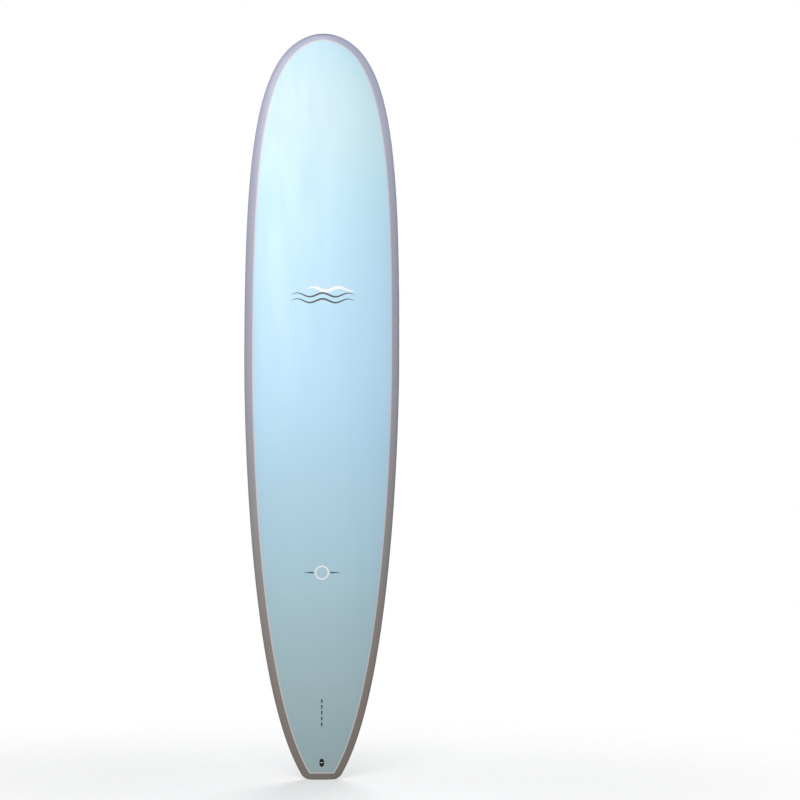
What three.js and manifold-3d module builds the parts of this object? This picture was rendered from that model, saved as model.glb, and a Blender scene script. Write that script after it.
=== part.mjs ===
// A nine-foot-two longboard surfboard in moulded sandwich construction, as its separate layers and fittings.
// Units are millimetres. Z runs from the flat tail end to the nose tip, X across the board with +X on the
// rider's right (starboard), and the deck faces -Y. The origin is the middle of the flat tail end.
import * as THREE from "three";
import { mergeVertices } from "three/addons/utils/BufferGeometryUtils.js";
import Module from "manifold-3d";

const wasm = await Module();
wasm.setup();

// ---- Driving dimensions ------------------------------------------------------------------------------------

const LENGTH = 2794;
const HALF_WIDTH = 292.5;
const WIDE_POINT = 1571; // height of the widest point above the tail end
const TAIL_HALF_WIDTH = 65; // to the sharp corner that the rounded one replaces
const TAIL_SIDE_ANGLE = THREE.MathUtils.degToRad(59.4); // between the tail end and the side, at that corner
const TAIL_CORNER_RADIUS = 38;
const NOSE_RADIUS = 150; // of the arc at the nose tip
const NOSE_TURN = THREE.MathUtils.degToRad(14.5); // that the arc turns through on each side
// How far each end of the two curves of the outline pulls along its own direction.
const PULL = { tailCorner: 415, belowWidePoint: 190, aboveWidePoint: 777, noseArc: 230 };

const THICKNESS = 76;
const THICK_POINT = 1450;
const TAIL_THICKNESS = 24;
const NOSE_THICKNESS = 16;
const TAIL_FOIL_POWER = 2.4;
const NOSE_FOIL_POWER = 2.8;
const NOSE_EDGE_RADIUS = 12; // over which the thickness closes to nothing at the nose tip

const TAIL_ROCKER = 75;
const NOSE_ROCKER = 120;
const ROCKER_LOW_POINT = 1250;
const TAIL_ROCKER_POWER = 2.3;
const NOSE_ROCKER_POWER = 2.6;
const BELLY_Y = TAIL_ROCKER + TAIL_THICKNESS / 2; // puts the middle of the tail end at Y 0

// A section's deck and bottom are superellipse arcs that meet at the rail's widest point.
const DECK_POWER = 2.4;
const BOTTOM_POWER = { tail: 8, nose: 4 };
const RAIL_SHARE = { tail: 0.32, nose: 0.5 }; // height of the widest point, as a share of the thickness

const GAP = 0.3; // between neighbouring pieces
const LAMINATE = 1;
const SANDWICH = 3;
const STRINGER = 4;
const RAIL_BAND = { side: 28.6, end: 23 }; // width of the rail colour that shows on the deck
const PINLINE = 4.2;

// Steps along a tail corner, the tail's side, the nose's side and the nose tip: of the outline itself, of the
// surface's cross-sections, and of the edge of the deck panel.
const OUTLINE_STEPS = { corner: 12, tail: 120, nose: 160, tip: 8 };
const SECTION_STEPS = { corner: 2, tail: 10, nose: 12, tip: 2 };
const PANEL_STEPS = { corner: 3, tail: 18, nose: 20, tip: 3 };
const RAIL_STEPS = 5; // of a section, from the centre line to a rail
const OUTSIDE = 3 * THICKNESS; // farther out than any part of the board's depth
const SAME_POINT = 1e-3; // corners closer than this are one

const SANDWICH_OUTER = LAMINATE + GAP;
const SANDWICH_INNER = SANDWICH_OUTER + SANDWICH;
const CORE_INSET = SANDWICH_INNER + GAP;

const CENTRE_BOX = {
  z: 252,
  flangeLength: 268,
  flangeWidth: 22,
  flangeThickness: 3,
  bodyLength: 262,
  bodyWidth: 18,
  depth: 24,
  slotLength: 250,
  slotWidth: 10.4,
  slotDepth: 20,
  trackWidth: 14,
  trackTop: 9,
  trackHeight: 4.5,
  entryRadius: 9.8,
  entryDepth: 13.5,
  bossRadius: 11.6, // of the round swelling of the body around the entry
};

const SIDE_BOX = {
  x: 177,
  z: 442,
  toeIn: THREE.MathUtils.degToRad(2),
  length: 105,
  width: 15,
  depth: 16,
  tabLength: 30,
  tabWidth: 6.4,
  tabDepth: 13,
  tabOffset: 29, // of each tab slot's middle from the box's middle
  earRadius: 5.6,
  earDepth: 11,
  earX: 9,
  earBehindTab: 8.5,
};
const SCREW = {
  radius: 2.5,
  length: 6,
  tilt: THREE.MathUtils.degToRad(30),
  sunk: 1,
  chamfer: 0.4,
  socketRadius: 1.4,
  socketDepth: 2.5,
  boreClearance: 0.1,
  boreDepth: 12,
};

const LEASH = {
  z: 63,
  lobeOffset: 6.6, // of each round lobe from the cup's middle, along the board
  rimRadius: 8.2,
  pocketRadius: 6.2,
  waistWidth: 8,
  pocketDepth: 13.5,
  bodyRadius: 10,
  bodyTop: 1.45, // below the deck, in the gap under the laminate
  depth: 16,
  pinRadius: 2.2,
  pinDepth: 4.4,
  pinLength: 15,
};

// Blocks of dense foam that hold the boxes and the cup in the light core.
const INSERT = {
  centre: { length: 288, width: 44, depth: 26 },
  side: { length: 128, width: 46, depth: 24 },
  leash: { length: 56, width: 40, depth: 18.5 },
};

// ---- Shape of the board ------------------------------------------------------------------------------------

const cornerReach = TAIL_CORNER_RADIUS * Math.tan(TAIL_SIDE_ANGLE / 2);
const onTailSide = (distance) =>
  new THREE.Vector2(
    TAIL_HALF_WIDTH + distance * Math.cos(TAIL_SIDE_ANGLE),
    distance * Math.sin(TAIL_SIDE_ANGLE),
  );
const tailSide = new THREE.CubicBezierCurve(
  onTailSide(cornerReach),
  onTailSide(PULL.tailCorner),
  new THREE.Vector2(HALF_WIDTH, WIDE_POINT - PULL.belowWidePoint),
  new THREE.Vector2(HALF_WIDTH, WIDE_POINT),
);
// A point of the nose tip's arc, or beyond it by a distance along the arc's direction there.
const onNoseArc = (turn, beyond = 0) =>
  new THREE.Vector2(
    NOSE_RADIUS * Math.sin(turn) + beyond * Math.cos(turn),
    LENGTH - NOSE_RADIUS * (1 - Math.cos(turn)) - beyond * Math.sin(turn),
  );
const noseSide = new THREE.CubicBezierCurve(
  new THREE.Vector2(HALF_WIDTH, WIDE_POINT),
  new THREE.Vector2(HALF_WIDTH, WIDE_POINT + PULL.aboveWidePoint),
  onNoseArc(NOSE_TURN, PULL.noseArc),
  onNoseArc(NOSE_TURN),
);

// Points of half the plan outline from tail to nose, each with its outward normal.
function sampleCurve(curve, steps, first) {
  const found = [];
  for (let i = first; i <= steps; i++) {
    const point = curve.getPoint(i / steps);
    const along = curve.getTangent(i / steps);
    found.push({ x: point.x, z: point.y, nx: along.y, nz: -along.x });
  }
  return found;
}

function outline(steps) {
  const corner = [];
  for (let i = 0; i < steps.corner; i++) {
    const turn = (TAIL_SIDE_ANGLE * i) / steps.corner;
    corner.push({
      x: TAIL_HALF_WIDTH - cornerReach + TAIL_CORNER_RADIUS * Math.sin(turn),
      z: TAIL_CORNER_RADIUS * (1 - Math.cos(turn)),
      nx: Math.sin(turn),
      nz: -Math.cos(turn),
    });
  }
  const tip = [];
  for (let i = steps.tip - 1; i >= 0; i--) {
    const turn = (NOSE_TURN * i) / steps.tip;
    const point = onNoseArc(turn);
    tip.push({ x: point.x, z: point.y, nx: Math.sin(turn), nz: Math.cos(turn) });
  }
  return [
    ...corner,
    ...sampleCurve(tailSide, steps.tail, 0),
    ...sampleCurve(noseSide, steps.nose, 1),
    ...tip,
  ];
}

const fineOutline = outline(OUTLINE_STEPS);
const stations = outline(SECTION_STEPS);

// Interpolates between two neighbouring values of a list that is sorted by key.
function lookUp(list, key, value, at) {
  let i = 1;
  while (i < list.length - 1 && list[i][key] < at) i++;
  const [a, b] = [list[i - 1], list[i]];
  const share = (at - a[key]) / (b[key] - a[key]);
  return a[value] + (b[value] - a[value]) * THREE.MathUtils.clamp(share, 0, 1);
}

const halfWidthAt = (z) => lookUp(fineOutline, "z", "x", z);

function thicknessAt(z) {
  const towardsTail = z < THICK_POINT;
  const away = towardsTail
    ? (THICK_POINT - z) / THICK_POINT
    : (z - THICK_POINT) / (LENGTH - THICK_POINT);
  const end = towardsTail ? TAIL_THICKNESS : NOSE_THICKNESS;
  const power = towardsTail ? TAIL_FOIL_POWER : NOSE_FOIL_POWER;
  const edge = Math.max(0, (z - LENGTH + NOSE_EDGE_RADIUS) / NOSE_EDGE_RADIUS);
  const foil = THICKNESS - (THICKNESS - end) * away ** power;
  return foil * Math.sqrt(Math.max(0, 1 - edge ** 2));
}

function rockerAt(z) {
  return z < ROCKER_LOW_POINT
    ? TAIL_ROCKER * ((ROCKER_LOW_POINT - z) / ROCKER_LOW_POINT) ** TAIL_ROCKER_POWER
    : NOSE_ROCKER * ((z - ROCKER_LOW_POINT) / (LENGTH - ROCKER_LOW_POINT)) ** NOSE_ROCKER_POWER;
}

const tailToNose = (ends, z) => ends.tail + ((ends.nose - ends.tail) * z) / LENGTH;

// Y of the surface that lies the given inset under the deck or the bottom. widthShare is 0 at the centre line
// and 1 at the rail's widest point.
function surfaceY(side, z, widthShare, inset = 0) {
  const thickness = thicknessAt(z) - 2 * inset;
  const rail = tailToNose(RAIL_SHARE, z) * thickness;
  const power = side === "deck" ? DECK_POWER : tailToNose(BOTTOM_POWER, z);
  const arc = Math.sqrt(Math.max(0, 1 - Math.abs(widthShare) ** power));
  const height = side === "deck" ? rail + (thickness - rail) * arc : rail * (1 - arc);
  return BELLY_Y - rockerAt(z) - inset - height;
}

const middleY = (z, inset = 0) => surfaceY("deck", z, 1, inset);

// ---- Solids ------------------------------------------------------------------------------------------------

// Joins rings of equally many points into a closed surface. The first ring gets a cap, and the last one has
// shrunk to a line or a point, which closes itself.
function loft(rings) {
  const count = rings[0].length;
  const points = rings.flat();
  const triangles = [];
  for (let i = 0; i + 1 < rings.length; i++) {
    for (let j = 0; j < count; j++) {
      const [a, b] = [i * count + j, i * count + ((j + 1) % count)];
      triangles.push([a, b + count, b], [a, a + count, b + count]);
    }
  }
  const middle = points.length;
  const sum = rings[0].reduce((total, p) => total.add(p), new THREE.Vector3());
  points.push(sum.divideScalar(count));
  for (let j = 0; j < count; j++) {
    triangles.push([middle, j, (j + 1) % count]);
  }
  const geometry = new THREE.BufferGeometry().setFromPoints(points);
  return geometry.setIndex(triangles.flat());
}

// A closed geometry as a solid to join and cut, without the triangles that have shrunk to a line.
function solid(geometry, matrix = new THREE.Matrix4()) {
  const bare = geometry.clone().applyMatrix4(matrix);
  bare.deleteAttribute("normal");
  bare.deleteAttribute("uv");
  const merged = mergeVertices(bare, SAME_POINT);
  const corners = merged.index.array;
  const kept = [];
  for (let i = 0; i < corners.length; i += 3) {
    const [a, b, c] = corners.slice(i, i + 3);
    if (a !== b && b !== c && c !== a) kept.push(a, b, c);
  }
  return new wasm.Manifold(
    new wasm.Mesh({
      numProp: 3,
      vertProperties: merged.attributes.position.array,
      triVerts: new Uint32Array(kept),
    }),
  );
}

function geometryOf(made) {
  const mesh = made.getMesh();
  const geometry = new THREE.BufferGeometry();
  geometry.setAttribute("position", new THREE.BufferAttribute(mesh.vertProperties, 3));
  geometry.setIndex(new THREE.BufferAttribute(mesh.triVerts, 1));
  const faceted = geometry.toNonIndexed();
  faceted.computeVertexNormals();
  return faceted;
}

const cut = (made, ...tools) => tools.reduce((rest, tool) => rest.subtract(tool), made);

// Half-width shares of a section's points, closer together towards the rail.
const shares = Array.from({ length: 2 * RAIL_STEPS + 1 }, (_, i) =>
  Math.cos((Math.PI * i) / (2 * RAIL_STEPS)),
);

// Rings of the board inset by a distance all round. side picks the whole section, or only its deck or bottom
// part, which then ends on the surface through the rails' widest points, moved by half a gap.
function boardRings(inset, side) {
  return stations.map(({ x, z, nx, nz }) => {
    const half = Math.max(0, x - inset * nx);
    const at = z - inset * nz;
    const point = (share, y) => new THREE.Vector3(half * share, y, at);
    const deck = shares.map((s) => point(s, surfaceY("deck", at, s, inset)));
    const bottom = shares.map((s) => point(-s, surfaceY("bottom", at, s, inset)));
    const split = (shift) => [-1, 1].map((s) => point(s, middleY(at, inset) + shift));
    if (side === "deck") {
      const [left, right] = split(-GAP / 2);
      return [right, ...deck.slice(1, -1), left];
    }
    if (side === "bottom") {
      const [left, right] = split(GAP / 2);
      return [left, ...bottom.slice(1, -1), right];
    }
    return [...deck, ...bottom.slice(1, -1)];
  });
}

const board = (inset, side) => loft(boardRings(inset, side));

// Everything over the deck side of the middle surface, inside the outline moved in by the rail band and more.
function deckRegion(more) {
  const [side, end] = [RAIL_BAND.side + more, RAIL_BAND.end + more];
  const inner = outline(PANEL_STEPS).map(({ x, z, nx, nz }) => {
    const band = Math.hypot(side * nx, end * nz);
    return { x: Math.max(0, x - band * nx), z: z - band * nz };
  });
  const beyond = inner.filter((p, i) => p.z > end && i > PANEL_STEPS.corner && p.x > 0);
  const before = inner[inner.indexOf(beyond[0]) - 1];
  const first = { x: lookUp([before, beyond[0]], "z", "x", end), z: end };
  const rings = [first, ...beyond, { x: 0, z: LENGTH - end }].map(({ x, z }) =>
    [
      [x, middleY(z)],
      [x, -OUTSIDE],
      [-x, -OUTSIDE],
      [-x, middleY(z)],
    ].map(([px, py]) => new THREE.Vector3(px, py, z)),
  );
  return solid(loft(rings));
}

// A slab of the whole board between two X values.
function slab(from, to) {
  const box = new THREE.BoxGeometry(to - from, 2 * OUTSIDE, 2 * LENGTH);
  return solid(box.translate((from + to) / 2, 0, LENGTH / 2));
}

// ---- Fittings ----------------------------------------------------------------------------------------------

// A group on the surface at a plan position, with its Y axis out of the surface and its Z axis towards the nose.
function fittingFrame(side, x, z, turn = 0) {
  const step = 5; // over which the surface's slope is measured
  const surface = (px, pz) =>
    new THREE.Vector3(px, surfaceY(side, pz, px / halfWidthAt(pz)), pz);
  const along = surface(x, z + step).sub(surface(x, z - step)).normalize();
  const across = surface(x + step, z).sub(surface(x - step, z)).normalize();
  const out = along.clone().cross(across);
  if (side === "deck") out.negate();
  const sideways = out.clone().cross(along).normalize();
  const group = new THREE.Group();
  const basis = new THREE.Matrix4().makeBasis(sideways, out, along);
  group.position.copy(surface(x, z));
  group.quaternion.setFromRotationMatrix(basis);
  group.rotateY(turn);
  group.updateMatrixWorld(true);
  return group;
}

// A prism of a plan shape, drawn in X and Z, from top down to top - depth.
function prism(shape, top, depth, curveSegments = 4) {
  const options = { depth, bevelEnabled: false, curveSegments };
  return new THREE.ExtrudeGeometry(shape, options).rotateX(Math.PI / 2).translate(0, top, 0);
}

// A slot with round ends along Z.
function stadium(length, width) {
  const [straight, radius] = [(length - width) / 2, width / 2];
  const shape = new THREE.Shape();
  shape.absarc(0, straight, radius, 0, Math.PI, false);
  shape.absarc(0, -straight, radius, Math.PI, 2 * Math.PI, false);
  return shape;
}

function disc(radius, x = 0, z = 0) {
  return new THREE.Shape().absarc(x, z, radius, 0, 2 * Math.PI, false);
}

const ABOVE = 6; // how far a cutting tool starts above the surface
const ROUND_SIDES = 16; // of the screws, the pin and the bores
const DISC_STEPS = 8; // of a half turn of a round pocket or ear

function centreBoxSlot(grow, depth) {
  const slot = stadium(CENTRE_BOX.slotLength + 2 * grow, CENTRE_BOX.slotWidth + 2 * grow);
  const entry = disc(CENTRE_BOX.entryRadius + grow);
  const entryDepth = Math.min(depth, CENTRE_BOX.entryDepth);
  return solid(prism(slot, ABOVE, depth + ABOVE)).add(
    solid(prism(entry, ABOVE, entryDepth + ABOVE, DISC_STEPS)),
  );
}

function centreBoxEnvelope(grow) {
  const b = CENTRE_BOX;
  const flange = stadium(b.flangeLength + 2 * grow, b.flangeWidth + 2 * grow);
  const body = stadium(b.bodyLength + 2 * grow, b.bodyWidth + 2 * grow);
  const boss = disc(b.bossRadius + grow);
  const underFlange = SANDWICH_OUTER + b.flangeThickness;
  return solid(prism(flange, ABOVE, underFlange + grow + ABOVE))
    .add(solid(prism(body, ABOVE, b.depth + grow + ABOVE)))
    .add(solid(prism(boss, ABOVE, b.depth + grow + ABOVE, DISC_STEPS)));
}

// Black box with a deep slot, a T track in both side walls and a round entry for the fin's nut in the middle.
// Its flange lies under the bottom laminate.
function centreFinBox(frame) {
  const b = CENTRE_BOX;
  const track = prism(stadium(b.slotLength, b.trackWidth), -b.trackTop, b.trackHeight);
  const skin = solid(board(SANDWICH_OUTER), frame.matrixWorld.clone().invert());
  return cut(
    centreBoxEnvelope(0).intersect(skin),
    centreBoxSlot(0, b.slotDepth),
    solid(track),
  );
}

// Places of a side box's two screws. The front one is inboard of its tab slot and the rear one outboard.
function screwPlaces(inboard) {
  const { tabOffset, earBehindTab, earX } = SIDE_BOX;
  return [
    { end: "front", x: inboard * earX, z: tabOffset - earBehindTab },
    { end: "rear", x: -inboard * earX, z: -tabOffset - earBehindTab },
  ];
}

// Moves a piece drawn on the Y axis, with Y 0 at the surface, onto a screw's tilted axis.
function onScrewAxis({ x, z }) {
  const tilt = new THREE.Matrix4().makeRotationZ(-Math.sign(x) * SCREW.tilt);
  return tilt.premultiply(new THREE.Matrix4().makeTranslation(x, 0, z));
}

function sideBoxEnvelope(inboard, grow) {
  const b = SIDE_BOX;
  const body = stadium(b.length + 2 * grow, b.width + 2 * grow);
  const ears = screwPlaces(inboard).map(({ x, z }) =>
    solid(prism(disc(b.earRadius + grow, x, z), ABOVE, b.earDepth + grow + ABOVE, DISC_STEPS)),
  );
  const start = solid(prism(body, ABOVE, b.depth + grow + ABOVE));
  return ears.reduce((whole, ear) => whole.add(ear), start);
}

// Clear box with two tab slots, and a tilted threaded bore into each.
function sideFinBox(frame, inboard) {
  const b = SIDE_BOX;
  const skin = solid(board(0), frame.matrixWorld.clone().invert());
  const tabs = [-1, 1].map((end) => {
    const shape = stadium(b.tabLength, b.tabWidth);
    return solid(prism(shape, ABOVE, b.tabDepth + ABOVE).translate(0, 0, end * b.tabOffset));
  });
  const boreRadius = SCREW.radius + SCREW.boreClearance;
  const boreLength = ABOVE + SCREW.boreDepth;
  const bores = screwPlaces(inboard).map((spot) => {
    const bore = new THREE.CylinderGeometry(boreRadius, boreRadius, boreLength, ROUND_SIDES);
    return solid(bore.translate(0, ABOVE - boreLength / 2, 0), onScrewAxis(spot));
  });
  return cut(sideBoxEnvelope(inboard, 0).intersect(skin), ...tabs, ...bores);
}

// Headless screw with a hexagon socket, on the Y axis with its top end at Y 0.
function finScrew() {
  const { radius, length, chamfer, socketRadius, socketDepth } = SCREW;
  const profile = [
    [0, -length],
    [radius - 2 * chamfer, -length],
    [radius, 2 * chamfer - length],
    [radius, -chamfer],
    [radius - chamfer, 0],
    [0, 0],
  ].map(([r, y]) => new THREE.Vector2(r, y));
  const body = new THREE.LatheGeometry(profile, ROUND_SIDES);
  const socketLength = ABOVE + socketDepth;
  const socket = new THREE.CylinderGeometry(socketRadius, socketRadius, socketLength, 6);
  return cut(solid(body), solid(socket.translate(0, ABOVE - socketLength / 2, 0)));
}

function twoLobes(radius, top, depth) {
  const lobe = (end) => prism(disc(radius, 0, end * LEASH.lobeOffset), top, depth, DISC_STEPS);
  return solid(lobe(-1)).add(solid(lobe(1)));
}

function leashCupEnvelope(grow, top) {
  const l = LEASH;
  const roundBothLobes = (radius) => stadium(2 * (l.lobeOffset + radius), 2 * radius);
  const rim = roundBothLobes(l.rimRadius + grow);
  const body = roundBothLobes(l.bodyRadius + grow);
  return solid(prism(rim, top, l.depth + top, DISC_STEPS)).add(
    solid(prism(body, grow - l.bodyTop, l.depth - l.bodyTop + 2 * grow, DISC_STEPS)),
  );
}

function leashPin(grow) {
  const pin = new THREE.CylinderGeometry(
    LEASH.pinRadius + grow,
    LEASH.pinRadius + grow,
    LEASH.pinLength + 2 * grow,
    ROUND_SIDES,
  );
  return solid(pin.rotateZ(Math.PI / 2).translate(0, -LEASH.pinDepth, 0));
}

// Cup with a flat rim, and two round pockets that join under a steel pin.
function leashCup() {
  const l = LEASH;
  const waist = stadium(2 * l.lobeOffset + l.waistWidth, l.waistWidth);
  return cut(
    leashCupEnvelope(0, 0),
    twoLobes(l.pocketRadius, ABOVE, l.pocketDepth + ABOVE),
    solid(prism(waist, ABOVE, l.pocketDepth + ABOVE)),
    leashPin(GAP),
  );
}

// ---- Assembly ----------------------------------------------------------------------------------------------

const finish = {
  deck_blue: [0xa9d4ea, 0.25, 0],
  rail_grey: [0x8d8b93, 0.25, 0],
  pinline: [0xe6dcdf, 0.3, 0],
  foam_white: [0xf2f2ee, 0.9, 0],
  sandwich_foam: [0xd8c58c, 0.85, 0],
  insert_foam: [0xb07a45, 0.85, 0],
  wood: [0xcaa66e, 0.7, 0],
  black_plastic: [0x0c0c0d, 0.45, 0],
  clear_plastic: [0xd9dad4, 0.1, 0],
  steel: [0xb9bcc0, 0.25, 1],
};
const materials = Object.fromEntries(
  Object.entries(finish).map(([name, [color, roughness, metalness]]) => [
    name,
    new THREE.MeshStandardMaterial({ name, color, roughness, metalness }),
  ]),
);

const surfboard = new THREE.Group();

function place(name, made, material, parent = surfboard) {
  const mesh = new THREE.Mesh(geometryOf(made), materials[material]);
  mesh.name = name;
  parent.add(mesh);
  return mesh;
}

const centreFrame = fittingFrame("bottom", 0, CENTRE_BOX.z);
const leashFrame = fittingFrame("deck", 0, LEASH.z);
// inboard is the local X direction towards the centre line.
const sideFrames = [
  { name: "port", sign: -1 },
  { name: "starboard", sign: 1 },
].map(({ name, sign }) => ({
  name,
  inboard: -sign,
  frame: fittingFrame("bottom", sign * SIDE_BOX.x, SIDE_BOX.z, -sign * SIDE_BOX.toeIn),
}));
surfboard.add(centreFrame, leashFrame, ...sideFrames.map((s) => s.frame));

const inBoard = (made, frame) => solid(geometryOf(made), frame.matrixWorld);
const centreHole = inBoard(centreBoxEnvelope(GAP), centreFrame);
// Deep enough to go right through the laminate where the board curves away at the slot's ends.
const centreOpening = inBoard(centreBoxSlot(GAP, 4 * LAMINATE), centreFrame);
const leashHole = inBoard(leashCupEnvelope(GAP, ABOVE), leashFrame);
const sideHoles = sideFrames.map(({ frame, inboard }) =>
  inBoard(sideBoxEnvelope(inboard, GAP), frame),
);

const inserts = [
  { name: "centre_fin_insert", frame: centreFrame, size: INSERT.centre, hole: centreHole },
  { name: "leash_insert", frame: leashFrame, size: INSERT.leash, hole: leashHole },
  ...sideFrames.map(({ name, frame }, i) => ({
    name: `side_fin_insert_${name}`,
    frame,
    size: INSERT.side,
    hole: sideHoles[i],
  })),
];

function insertBlock({ frame, size }, grow) {
  const shape = stadium(size.length + 2 * grow, size.width + 2 * grow);
  return solid(prism(shape, ABOVE, size.depth + grow + ABOVE), frame.matrixWorld);
}

// Glass and epoxy skins: the blue deck panel, the pinline round it, and the grey rails and bottom.
const skin = cut(solid(board(0)), solid(board(LAMINATE)));
place("deck_laminate", cut(skin.intersect(deckRegion(PINLINE)), leashHole), "deck_blue");
place("pinline", cut(skin.intersect(deckRegion(GAP)), deckRegion(PINLINE - GAP)), "pinline");
place(
  "bottom_laminate",
  cut(skin, deckRegion(0), centreOpening, ...sideHoles),
  "rail_grey",
);

// Foam sandwich sheets, moulded to the deck and the bottom, and butted at the rails.
const insideSandwich = solid(board(SANDWICH_INNER));
place(
  "deck_sandwich_sheet",
  cut(solid(board(SANDWICH_OUTER, "deck")), insideSandwich, leashHole),
  "sandwich_foam",
);
place(
  "bottom_sandwich_sheet",
  cut(solid(board(SANDWICH_OUTER, "bottom")), insideSandwich, centreHole, ...sideHoles),
  "sandwich_foam",
);

// Core: two halves of light foam glued to a centre stringer, cut out for the inserts.
const coreSpace = solid(board(CORE_INSET));
const core = cut(coreSpace, ...inserts.map((insert) => insertBlock(insert, GAP)));
const half = STRINGER / 2;
place("core_foam_port", core.intersect(slab(-LENGTH, -half - GAP)), "foam_white");
place("core_foam_starboard", core.intersect(slab(half + GAP, LENGTH)), "foam_white");
place("stringer", core.intersect(slab(-half, half)), "wood");
for (const insert of inserts) {
  const block = insertBlock(insert, 0).intersect(coreSpace);
  place(insert.name, cut(block, insert.hole), "insert_foam");
}

place("centre_fin_box", centreFinBox(centreFrame), "black_plastic", centreFrame);

for (const { name, inboard, frame } of sideFrames) {
  place(`side_fin_box_${name}`, sideFinBox(frame, inboard), "clear_plastic", frame);
  for (const spot of screwPlaces(inboard)) {
    const screw = place(`fin_screw_${name}_${spot.end}`, finScrew(), "steel", frame);
    screw.applyMatrix4(onScrewAxis(spot));
    screw.translateY(-SCREW.sunk);
  }
}

place("leash_cup", leashCup(), "black_plastic", leashFrame);
place("leash_pin", leashPin(0), "steel", leashFrame);

export default surfboard;
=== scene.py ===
import math
from bisect import bisect_right

import bmesh
import bpy
from mathutils import Matrix, Vector


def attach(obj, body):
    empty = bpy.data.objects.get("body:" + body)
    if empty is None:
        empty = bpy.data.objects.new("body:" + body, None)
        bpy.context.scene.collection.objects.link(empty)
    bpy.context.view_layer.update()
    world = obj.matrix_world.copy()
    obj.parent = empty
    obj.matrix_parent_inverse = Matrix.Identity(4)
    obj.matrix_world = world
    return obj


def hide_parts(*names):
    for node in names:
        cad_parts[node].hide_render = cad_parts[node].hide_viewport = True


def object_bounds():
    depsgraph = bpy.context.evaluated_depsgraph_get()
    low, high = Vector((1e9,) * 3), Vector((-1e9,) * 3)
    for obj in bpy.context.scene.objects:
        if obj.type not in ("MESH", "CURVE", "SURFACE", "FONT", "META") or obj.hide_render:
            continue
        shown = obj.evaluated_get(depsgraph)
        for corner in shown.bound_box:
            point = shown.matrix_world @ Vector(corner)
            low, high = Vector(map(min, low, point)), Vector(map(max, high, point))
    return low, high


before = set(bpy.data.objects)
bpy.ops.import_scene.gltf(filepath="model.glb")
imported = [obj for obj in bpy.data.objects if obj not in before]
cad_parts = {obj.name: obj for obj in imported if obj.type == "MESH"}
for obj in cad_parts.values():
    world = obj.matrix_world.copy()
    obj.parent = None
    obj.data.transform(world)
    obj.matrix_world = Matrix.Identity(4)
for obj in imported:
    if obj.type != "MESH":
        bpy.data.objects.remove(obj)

cad_low, cad_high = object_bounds()

# The board's driving dimensions, in metres. Z runs from the tail to the nose and the deck faces -Y.
MM = 0.001
LENGTH = cad_high.z - cad_low.z
HALF_WIDTH = (cad_high.x - cad_low.x) / 2
WIDE_POINT = 1571 * MM
TAIL_HALF_WIDTH = 65 * MM
TAIL_SIDE_ANGLE = math.radians(59.4)
TAIL_CORNER_RADIUS = 38 * MM
TAIL_CORNER_PULL = 415 * MM
BELOW_WIDE_PULL = 190 * MM
ABOVE_WIDE_PULL = 777 * MM
NOSE_ARC_PULL = 230 * MM
NOSE_RADIUS = 150 * MM
NOSE_TURN = math.radians(14.5)

THICKNESS = 76 * MM
THICK_POINT = 1450 * MM
TAIL_THICKNESS = 24 * MM
NOSE_THICKNESS = 16 * MM
NOSE_EDGE = 12 * MM
TAIL_FOIL_POWER = 2.4
NOSE_FOIL_POWER = 2.8
TAIL_ROCKER = 75 * MM
NOSE_ROCKER = 120 * MM
ROCKER_LOW_POINT = 1250 * MM
TAIL_ROCKER_POWER = 2.3
NOSE_ROCKER_POWER = 2.6
DECK_POWER = 2.4
BOTTOM_POWERS = (8, 4)
RAIL_SHARES = (0.32, 0.5)
BELLY_Y = TAIL_ROCKER + TAIL_THICKNESS / 2

SIDE_BAND = 28.6 * MM
END_BAND = 23 * MM
PINLINE = 4.2 * MM
SKIN = 1 * MM
GAP = 0.3 * MM
TAIL_EDGE = 2.5 * MM  # rounding of the tail end's edge

# Steps that follow each part of the outline.
CORNER_STEPS = 40
TAIL_SIDE_STEPS = 400
NOSE_SIDE_STEPS = 900
TIP_STEPS = 120


# ---- The board's surface ----

def bezier(points, steps):
    """Points of a cubic curve with their outward normals, as (x, z, normal x, normal z)."""
    found = []
    a, b, c, d = [Vector(p) for p in points]
    for i in range(steps + 1):
        t = i / steps
        s = 1 - t
        at = a * s**3 + b * (3 * s * s * t) + c * (3 * s * t * t) + d * t**3
        along = ((b - a) * s * s + (c - b) * (2 * s * t) + (d - c) * t * t).normalized()
        found.append((at.x, at.y, along.y, -along.x))
    return found


def on_tail_side(distance):
    """A point of the straight line that the side leaves the tail along."""
    return (
        TAIL_HALF_WIDTH + distance * math.cos(TAIL_SIDE_ANGLE),
        distance * math.sin(TAIL_SIDE_ANGLE),
    )


corner_reach = TAIL_CORNER_RADIUS * math.tan(TAIL_SIDE_ANGLE / 2)
FLAT_HALF_WIDTH = TAIL_HALF_WIDTH - corner_reach


def corner_arc(steps):
    """The rounded tail corner, from the flat end to the side."""
    found = []
    for i in range(steps):
        turn = TAIL_SIDE_ANGLE * i / steps
        x = FLAT_HALF_WIDTH + TAIL_CORNER_RADIUS * math.sin(turn)
        z = TAIL_CORNER_RADIUS * (1 - math.cos(turn))
        found.append((x, z, math.sin(turn), -math.cos(turn)))
    return found


tail_side = bezier(
    [
        on_tail_side(corner_reach),
        on_tail_side(TAIL_CORNER_PULL),
        (HALF_WIDTH, WIDE_POINT - BELOW_WIDE_PULL),
        (HALF_WIDTH, WIDE_POINT),
    ],
    TAIL_SIDE_STEPS,
)


def on_nose_arc(turn, beyond=0.0):
    """A point of the nose tip's arc, or beyond it along the arc's direction there."""
    return (
        NOSE_RADIUS * math.sin(turn) + beyond * math.cos(turn),
        LENGTH - NOSE_RADIUS * (1 - math.cos(turn)) - beyond * math.sin(turn),
    )


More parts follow.
